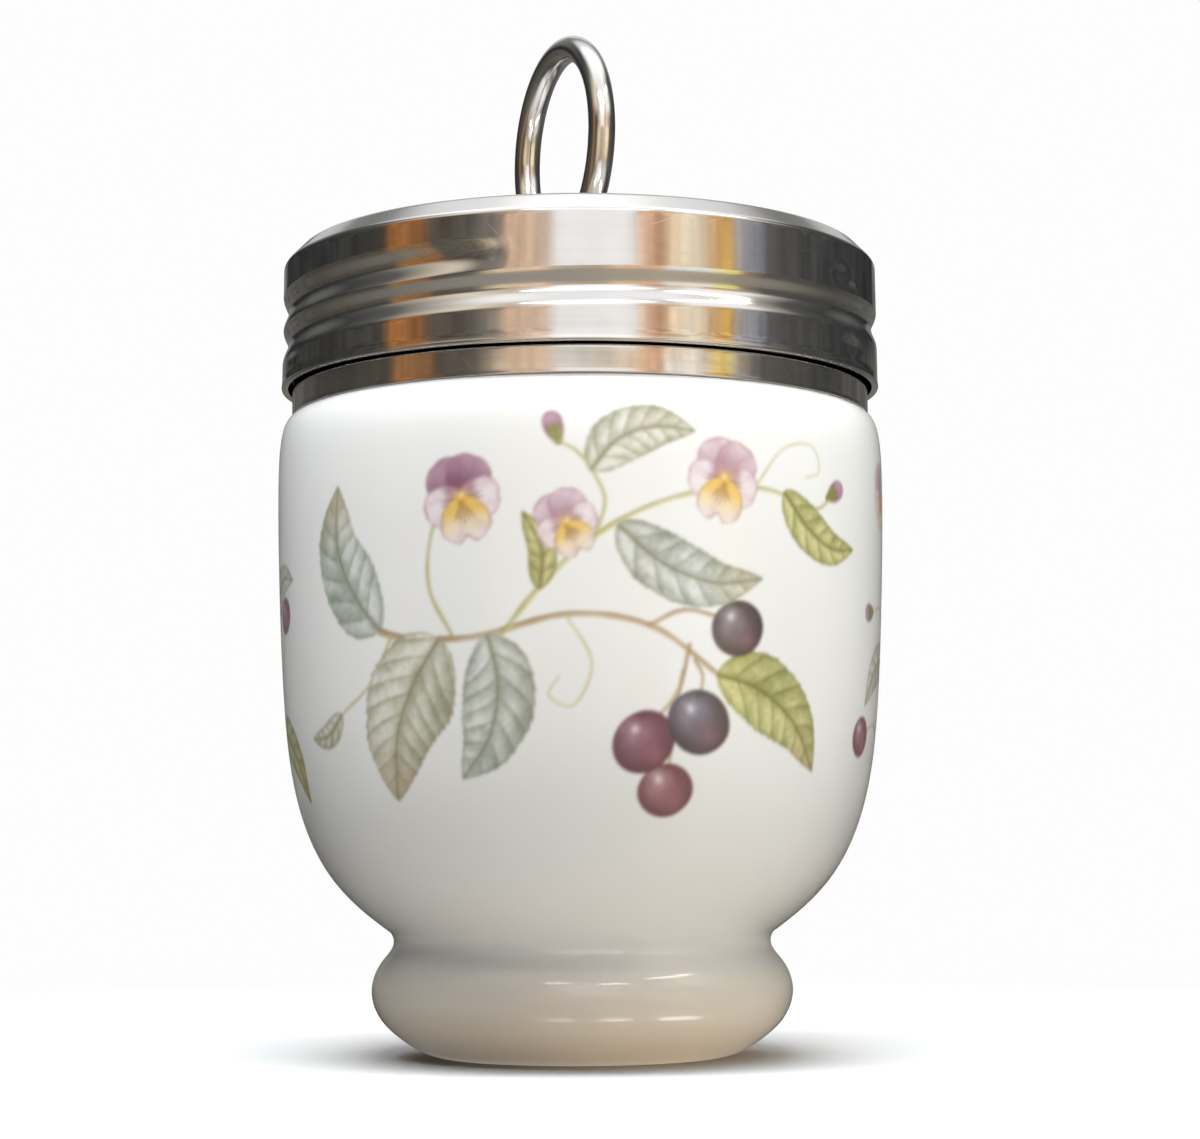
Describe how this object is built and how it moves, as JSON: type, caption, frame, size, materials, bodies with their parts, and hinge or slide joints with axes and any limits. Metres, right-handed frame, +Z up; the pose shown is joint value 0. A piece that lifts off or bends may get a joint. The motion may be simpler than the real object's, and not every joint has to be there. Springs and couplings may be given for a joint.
{
  "type": "egg coddler",
  "caption": "Footed porcelain egg coddler cup with a botanical band and a screw-on stainless steel lid that carries an upright wire lifting ring.",
  "frame": {"origin": "centre of the foot ring's flat face, on the surface the coddler stands on", "axes": "+Z up along the cup's axis; -Y towards the front of the decoration; +X to the right seen from the front"},
  "size_m": [0.0636, 0.0636, 0.108],
  "materials": {
    "porcelain": "gloss",
    "lid_steel": "polished",
    "collar_steel": "polished",
    "wire_steel": "polished",
    "cement": "matte",
    "braze": "satin"
  },
  "bodies": {
    "cup": {"cup": "porcelain", "collar": "collar_steel"},
    "thread_link": {"collar_cement": "cement"},
    "lid": {"lid": "lid_steel", "lifting_ring": "wire_steel", "ring_braze": "braze"}
  },
  "joints": [
    {"name": "lid_turn", "type": "hinge", "parent": "cup", "child": "thread_link", "pos_m": [0, 0, 0.074], "axis": [0, 0, 1], "range_deg": [0, 1530]},
    {"name": "lid_rise", "type": "slide", "parent": "thread_link", "child": "lid", "axis": [0, 0, 1], "range_m": [0, 0.0145]}
  ],
  "couplings": [
    {"joint": "lid_rise", "follows": "lid_turn", "m_per_rad": 0.00054113}
  ]
}
